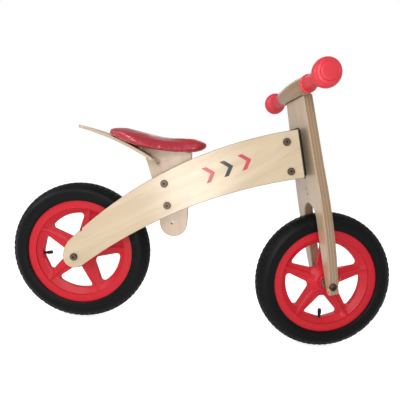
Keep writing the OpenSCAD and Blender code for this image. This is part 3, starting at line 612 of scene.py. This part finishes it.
# %% Tyre section, as distances from the axle and across the tyre
section_r = 0.1285
skin_r = 22.9
inner_skin_r = 20.6
tread_rows = (-54, -42, -30, -17, -6, 6, 17, 30, 42, 54)
wall_rings = ((60, 23.5), (67, 23.8), (74, 24.0), (76.5, 24.0), (78, 24.5), (81, 24.5), (82.5, 24.0),
              (92, 24.0), (102, 24.0), (112, 24.0), (115, 24.0), (116.5, 24.4), (118.5, 24.4),
              (120, 24.0), (126, 24.0))

bead_hook = ((0.1148, 0.0176), (0.1147, 0.0142), (0.1058, 0.0141), (0.1058, 0.0113),
             (0.1160, 0.0126))
inner_turns = (124, 105, 85, 65, 45, 25)

def round_section(angle, radius_mm):
    turn = math.radians(angle)
    return (section_r + radius_mm / 1000 * math.cos(turn), radius_mm / 1000 * math.sin(turn))

def tyre_section():
    half = [round_section(a, r) for a, r in wall_rings]
    half += bead_hook
    half += [round_section(a, inner_skin_r) for a in inner_turns]
    tread = [round_section(a, skin_r) for a in tread_rows]
    inner_top = [round_section(0, inner_skin_r)]
    lower = [(r, -y) for r, y in half]
    return [(r, y, 0) for r, y in tread + half + inner_top + lower[::-1]]

# %% [markdown]
# ### Tread blocks
# Each face of the spun tread knows where it is: its angle round the wheel and its angle across the
# section. Rows are offset from their neighbours by half a pitch, as on a real tyre, and the two
# shoulder rows have closer blocks with a gap at every third step.

# %% Tyre with its tread
shoulder_rows = (1, 9)
tread_half_width = 0.0195
block_lift = 0.0007

def tyre(name, body, axes, steps=150):
    bm = spun(tyre_section(), steps, closed=True)
    blocks = []
    for face in bm.faces:
        spot = face.calc_center_median()
        across = math.degrees(math.atan2(spot.y, math.hypot(spot.x, spot.z) - section_r))
        out = face.normal.dot(Vector((spot.x, 0, spot.z)).normalized())
        if abs(across) > tread_rows[-1] or out < 0.3 or abs(spot.y) > tread_half_width:
            continue
        row = sum(1 for limit in tread_rows if limit < across)
        step = int((math.atan2(spot.z, spot.x) % math.tau) / math.tau * steps)
        gap = step % 3 == 0 if row in shoulder_rows else (step + row // 2) % 2 == 0
        if not gap:
            blocks.append(face)
    bmesh.ops.inset_individual(bm, faces=blocks, thickness=block_lift, depth=block_lift,
                               use_even_offset=True)
    print(name, "tread blocks:", len(blocks))
    piece = finish_piece(name, bm, body, tyre_black, axes, sharp=28, mend=False)
    return piece

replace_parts(tyre("rear_tyre_treaded", "rear_wheel", rear_wheel_axes), "rear_tyre")
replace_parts(tyre("front_tyre_treaded", "front_wheel", front_wheel_axes), "front_tyre")

# %% [markdown]
# ## Valve caps
# A rubber cap is screwed over the end of each tyre valve. It is fluted so that fingers can grip it.
# A half outline, hollow where the stem goes in, is spun about the valve, and every other long face
# is pressed in a little.

# %% Valve caps
cap_outline = ((0, 0), (2.7, 0.1), (3.5, 0.7), (3.9, 1.8), (3.9, 10.6), (3.6, 11.2), (3.06, 11.2),
               (3.06, 7.0), (0, 7.0))
long_face_height = 0.0062
middle_to_tip = 0.0034
flutes = {"thickness": 0.0003, "depth": -0.0004}

def valve_cap(name, cap_node, stem_node, body, steps=16):
    cap_middle, stem_middle = (sum(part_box(node), Vector()) / 2 for node in (cap_node, stem_node))
    inwards = (cap_middle - stem_middle).normalized()
    tip = cap_middle + inwards * middle_to_tip
    axes = frame_matrix(tip, inwards.cross(side), side, -inwards)
    bm = spun([(r / 1000, 0, h / 1000) for r, h in cap_outline], steps, axis=(0, 0, 1))
    around = []
    for face in bm.faces:
        spot = face.calc_center_median()
        outwards = face.normal.x * spot.x + face.normal.y * spot.y > 0
        if outwards and abs(spot.z - long_face_height) < 0.0003:
            around.append((math.atan2(spot.y, spot.x), face))
    around.sort(key=lambda turn_and_face: turn_and_face[0])
    bmesh.ops.inset_individual(bm, faces=[face for turn, face in around[::2]], **flutes)
    piece = finish_piece(name, bm, body, valve_black, axes, sharp=40)
    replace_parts(piece, cap_node)

valve_cap("rear_cap_fluted", "rear_valve_cap", "rear_valve_stem", "rear_wheel")
valve_cap("front_cap_fluted", "front_valve_cap", "front_valve_stem", "front_wheel")

# %% [markdown]
# ## Moulded rims
# Rim, spokes and hub are one nylon moulding. A mould can't make a knife-sharp edge, and it is the
# small highlight along each rounded edge that makes plastic look moulded. The measured rim already
# has its windows, ribs and steps. Its copy gets rounded circular lips, while the window walls, whose
# many short edges a bevel would tangle, stay as they are.

# %% Rims with rounded circular lips
def rim_with_lips(node_name, body, axes, lip=0.0975, radius=0.0008):
    bm = merged_copy(node_name)
    back = axes.inverted()

    def beyond(limit):
        return {v for v in bm.verts if math.hypot((back @ v.co).x, (back @ v.co).z) > limit}

    outer = beyond(lip)
    ring = [e for e in bm.edges if e.verts[0] in outer and e.verts[1] in outer]
    bmesh.ops.dissolve_limit(bm, angle_limit=nearly_flat, verts=list(outer), edges=ring)
    outer = beyond(lip + 0.0002)
    ring = [e for v in outer for e in v.link_edges
            if e.other_vert(v) in outer and e.is_manifold and e.calc_face_angle(0) > math.radians(40)]
    bmesh.ops.bevel(bm, geom=list(set(ring)), offset=radius, offset_type="OFFSET", segments=2,
                    profile=0.5, affect="EDGES", clamp_overlap=True, material=-1)
    piece = finish_piece(node_name + "_moulded", bm, body, rim_red, Matrix(), sharp=30, mend=False)
    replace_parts(piece, node_name)

rim_with_lips("rear_rim", "rear_wheel", rear_wheel_axes)
rim_with_lips("front_rim", "front_wheel", front_wheel_axes)

# %% [markdown]
# ## Grips
# Each rubber grip is turned in one piece: a flange that stops the hand at its inner end, a sleeve
# with shallow rings, and a fat safety knob at its outer end with a stepped face and a domed middle.
# That is a half outline spun about the handlebar, closed at the axis.

# %% Grip outline
def arc_points(centre, radius, first, last, count):
    turns = [math.radians(first + (last - first) * i / (count - 1)) for i in range(count)]
    return [(centre[0] + radius * math.cos(t), centre[1] + radius * math.sin(t)) for t in turns]

def grip_outline():
    points = [(0, 143.1), (10.1, 143.1), (10.1, 66.3), (16.4, 66.3), (17.3, 66.8), (17.5, 67.6),
              (17.5, 69.2), (17.1, 70.1), (16.0, 70.4), (14.6, 70.8)]
    first_ring, ring_pitch = 72.2, 3.6
    for ring in range(14):
        start = first_ring + ring * ring_pitch
        points += [(14.0, start), (14.0, start + 2.2), (13.75, start + 2.6), (13.75, start + 3.2)]
    points += [(14.1, 124.4), (14.8, 127.6), (16.2, 130.2)]
    points += arc_points((13, 143), 12.5, -72, 46, 15)
    points += [(21.2, 151.9), (20.5, 151.9)]
    points += arc_points((13, 143), 12.2, 52, 72, 5)
    points += [(16.3, 154.4), (15.7, 154.3), (15.3, 154.8), (15.1, 155.9), (14.4, 156.6),
               (12.5, 157.0), (9.0, 157.3), (4.5, 157.5), (0, 157.6)]
    return [(r / 1000, y / 1000, 0) for r, y in points]

# %% Both grips
bar_forward, bar_height = 0.0126, 0.413
bar_axes = fork_axes @ Matrix.Translation((bar_forward, 0, bar_height))

def grip(name, mirrored, steps=72):
    bm = spun(grip_outline(), steps)
    if mirrored:
        bmesh.ops.scale(bm, vec=(1, -1, 1), verts=bm.verts)
    piece = finish_piece(name, bm, "front_end", grip_red, bar_axes, sharp=40)
    return piece

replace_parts(grip("left_grip_turned", False), "left_grip")
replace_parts(grip("right_grip_turned", True), "right_grip")

# %% [markdown]
# ## Saddle
# The saddle is a shaped foam pad on a small plywood board, covered in glossy vinyl that is pulled
# under and stapled. From the side it is high and blunt at the back, dips, and ends in a long nose.
# From above it is broad at the back and narrow in front. A short list of stations along its length
# gives its half width, top and bottom. A sphere is fitted through the stations, and then a cloth
# simulation with a little air pressure lets the cover swell tight over the padding.

# %% Saddle stations: distance along, half width, top and bottom, in millimetres
stations = ((-221.0, 32, 425, 416), (-219.5, 44, 427.5, 412.5), (-215, 53, 429.6, 410.6),
            (-206, 61, 430.6, 408), (-195, 65, 430.3, 404.4), (-180, 67, 428.2, 399.6),
            (-165, 66, 426, 396.6), (-150, 62, 423.8, 394.6), (-130, 55, 421.4, 393.6),
            (-110, 48.5, 420, 393.4), (-90, 41, 420.6, 394.2), (-70, 35, 422.4, 395.8),
            (-52, 32, 424, 398.6), (-40, 29.5, 424.2, 400.6), (-31, 25, 423.6, 402.8),
            (-26, 19.5, 422.2, 405.4), (-22.5, 13, 420, 408.4), (-20.8, 8, 418.2, 410.6),
            (-20.2, 3, 416, 413))

def station_at(x):
    for a, b in zip(stations, stations[1:]):
        if x <= b[0]:
            part = max(0.0, (x - a[0]) / (b[0] - a[0]))
            return [a[i] + (b[i] - a[i]) * part for i in (1, 2, 3)]
    return list(stations[-1][1:])

# %% Saddle: a sphere fitted through the stations
saddle_shift = Vector((0.3, -1.2, 0))

def saddle_blank(tight):
    bm = bmesh.new()
    bmesh.ops.create_icosphere(bm, subdivisions=6, radius=1)
    first, last = stations[0][0], stations[-1][0]
    for v in bm.verts:
        x = (first + last) / 2 + (last - first) / 2 * math.sin(v.co.x * math.pi / 2)
        half, top, low = station_at(x)
        ring = Vector((v.co.y, v.co.z))
        ring = ring.normalized() if ring.length > 1e-6 else Vector((0, 0))
        # soft shoulders above, and a squarer section below, where the cover is pulled round the board
        power = 2.5 if ring.y > 0 else 5.0
        corner = max(abs(ring.x) ** power + abs(ring.y) ** power, 1e-6)
        fat = 1 / corner ** (1 / power) if ring.length else 0
        y = (half - tight) * ring.x * fat
        z = (top + low) / 2 + ((top - low) / 2 - tight) * ring.y * fat
        v.co = (Vector((x, y, z)) + saddle_shift) / 1000
    bmesh.ops.recalc_face_normals(bm, faces=bm.faces)
    return bm

room_to_swell = 1.2
bm = saddle_blank(room_to_swell)
mesh = bpy.data.meshes.new("saddle_cover")
bm.to_mesh(mesh)
bm.free()
saddle = bpy.data.objects.new("saddle_cover", mesh)
bpy.context.scene.collection.objects.link(saddle)
print("saddle blank:", len(mesh.vertices), "points")

# %% [markdown]
# ### Letting the cover swell
# The blank is remeshed into even squares so that the cloth bends alike in every direction. Twenty
# frames of cloth with pressure puff it up. A cap on how far each point may go keeps the saddle's
# outline, and no random numbers are used, so the result is the same each time.

# %% Cloth simulation of the cover
def apply_all(piece):
    graph = bpy.context.evaluated_depsgraph_get()
    settled = bpy.data.meshes.new_from_object(piece.evaluated_get(graph))
    piece.modifiers.clear()
    piece.data = settled

remesh = saddle.modifiers.new("even squares", "REMESH")
remesh.mode = "VOXEL"
remesh.voxel_size = 0.004
apply_all(saddle)
start = [v.co.copy() for v in saddle.data.vertices]
last_frame = 20
furthest_move = 0.0028
cloth = saddle.modifiers.new("cover", "CLOTH")
cloth.settings.use_pressure = True
cloth.settings.uniform_pressure_force = 3.0
cloth.settings.effector_weights.gravity = 0
cloth.settings.tension_stiffness = 30
cloth.settings.compression_stiffness = 30
cloth.settings.bending_stiffness = 2.0
cloth.point_cache.frame_start = 1
cloth.point_cache.frame_end = last_frame
for moment in range(1, last_frame + 1):
    bpy.context.scene.frame_set(moment)
apply_all(saddle)
for v, before in zip(saddle.data.vertices, start):
    move = v.co - before
    v.co = before + move.normalized() * min(move.length, furthest_move)
bpy.context.scene.frame_set(1)
print("saddle cover:", len(saddle.data.vertices), "points")

# %% [markdown]
# ### Gathers and contact
# Where the vinyl is pulled under and stapled it gathers into small folds along the lower edge. They
# are pressed in after the simulation, because remeshing would have removed them. The underside is
# also lifted clear of the bent handle and of the top of the seat post that it rests on.

# %% Gathered hem, and room for the handle and the post
smooth = saddle.modifiers.new("finer", "SUBSURF")
smooth.levels = smooth.render_levels = 1
apply_all(saddle)
hem_height, hem_spread = 0.16, 0.22
fold_out, fold_up, dimple_depth = 0.0022, 0.0018, 0.0005
broad_folds, small_folds = 9, 21
saddle_middle = 0.13
handle_half_width, post_half_width = 0.0465, 0.0098
post_front = -0.05
above_handle = handle_inner_r + handle_thickness + 0.0004
above_post, underside = 0.39615, 0.3932
for v in saddle.data.vertices:
    x, y, z = v.co
    top, low = station_at(x * 1000)[1:]
    height = (z * 1000 - low) / max(top - low, 1)
    hem = max(0.0, 1 - abs(height - hem_height) / hem_spread)
    around = math.atan2(y, (x + saddle_middle) * 0.45)
    fold = noise.noise(Vector((around * broad_folds, height * 1.2, 3.1)))
    fold += 0.5 * noise.noise(Vector((around * small_folds, height * 2, 7.7)))
    out = Vector((x + saddle_middle, y * 2.2, 0)).normalized()
    v.co += out * fold * hem * fold_out
    v.co.z += fold * hem * fold_up
    v.co.z += noise.noise(Vector((x, y, z)) * 30) * dimple_depth
    off_centre = abs(v.co.y - saddle_shift.y / 1000)
    if off_centre < handle_half_width:
        reach = v.co.x - handle_centre.x
        v.co.z = max(v.co.z, handle_centre.z + math.sqrt(above_handle ** 2 - reach ** 2))
    if off_centre < post_half_width and v.co.x < post_front:
        v.co.z = max(v.co.z, above_post)
    v.co.z = max(v.co.z, underside)
saddle.data.polygons.foreach_set("use_smooth", [True] * len(saddle.data.polygons))
saddle.data.materials.clear()
saddle.data.materials.append(vinyl)
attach(saddle, "frame")
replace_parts(saddle, "saddle_pad")
for corner in (0, 6):
    print("saddle box corner:", [round(c, 3) for c in saddle.bound_box[corner]])

# %% [markdown]
# ## Camera, floor and light
# The camera stands to the right of the bike at about saddle height, near enough that the front
# wheel and the handlebar show some perspective, and is tilted a few degrees sideways.

# %% Camera
def rotation(axis, degrees):
    return Matrix.Rotation(math.radians(degrees), 3, axis)

camera_turn = rotation("Z", 0.43) @ rotation("X", -7.40) @ rotation("Y", -6.84)
right, forward, up = (camera_turn.col[i] for i in range(3))
camera = bpy.data.objects.new("camera", bpy.data.cameras.new("camera"))
bpy.context.scene.collection.objects.link(camera)
camera_place = Vector((-0.0168, -0.7109, 0.3888))
camera.matrix_world = frame_matrix(camera_place, right, up, -forward)
sensor_width = 36
focal_length = 0.81925
camera.data.lens = focal_length * sensor_width
camera.data.sensor_width = sensor_width
camera.data.clip_start = 0.01
bpy.context.scene.camera = camera

# %% Floor
bm = bmesh.new()
bmesh.ops.create_grid(bm, x_segments=1, y_segments=1, size=40)
floor_material, tree, shader = new_material("pale floor", Roughness=0.9, Emission_Color=(1, 1, 1, 1))
direct = add_node(tree, "ShaderNodeLightPath").outputs["Is Camera Ray"]
tree.links.new(remap(tree, direct, 0, 1, 0.12, 0.72), shader.inputs["Emission Strength"])
tone = speckle(tree, object_coords(tree), 1.5, 2)
floor_color = blend_colors(tree, tone, (0.86, 0.86, 0.86, 1), (0.89, 0.89, 0.89, 1))
tree.links.new(floor_color, shader.inputs["Base Color"])
mesh = bpy.data.meshes.new("floor")
bm.to_mesh(mesh)
bm.free()
floor = bpy.data.objects.new("floor", mesh)
mesh.materials.append(floor_material)
bpy.context.scene.collection.objects.link(floor)

# %% Backdrop: seen as plain white paper, but it lights the bike only softly
world = bpy.data.worlds.new("studio")
world.use_nodes = True
tree = world.node_tree
backdrop = tree.nodes["Background"].inputs
backdrop["Color"].default_value = (1, 1, 1, 1)
seen = add_node(tree, "ShaderNodeLightPath").outputs["Is Camera Ray"]
tree.links.new(remap(tree, seen, 0, 1, 0.40, 1.0), backdrop["Strength"])
bpy.context.scene.world = world

# %% Lamps
def lamp(name, place, target, size, power):
    light = bpy.data.lights.new(name, "AREA")
    light.size = size
    light.energy = power
    holder = bpy.data.objects.new(name, light)
    bpy.context.scene.collection.objects.link(holder)
    holder.location = place
    holder.rotation_mode = "QUATERNION"
    holder.rotation_quaternion = (Vector(target) - Vector(place)).to_track_quat("-Z", "Y")

lamp("key softbox", (-1.1, -1.5, 1.8), (0, 0, 0.25), 0.8, 10)
lamp("rear fill", (-1.7, -0.5, 0.9), (0.2, 0, 0.3), 0.8, 7)
lamp("front softbox", (-0.3, -1.3, 0.85), (0.1, 0, 0.25), 0.35, 4.5)
lamp("back softbox", (0.3, 2.0, 1.6), (0, 0, 0.25), 1.4, 9)
lamp("gloss lamp", (-0.08, -1.0, 0.24), (-0.03, 0, 0.3), 0.30, 2.1)
bpy.context.scene.view_settings.view_transform = "Standard"
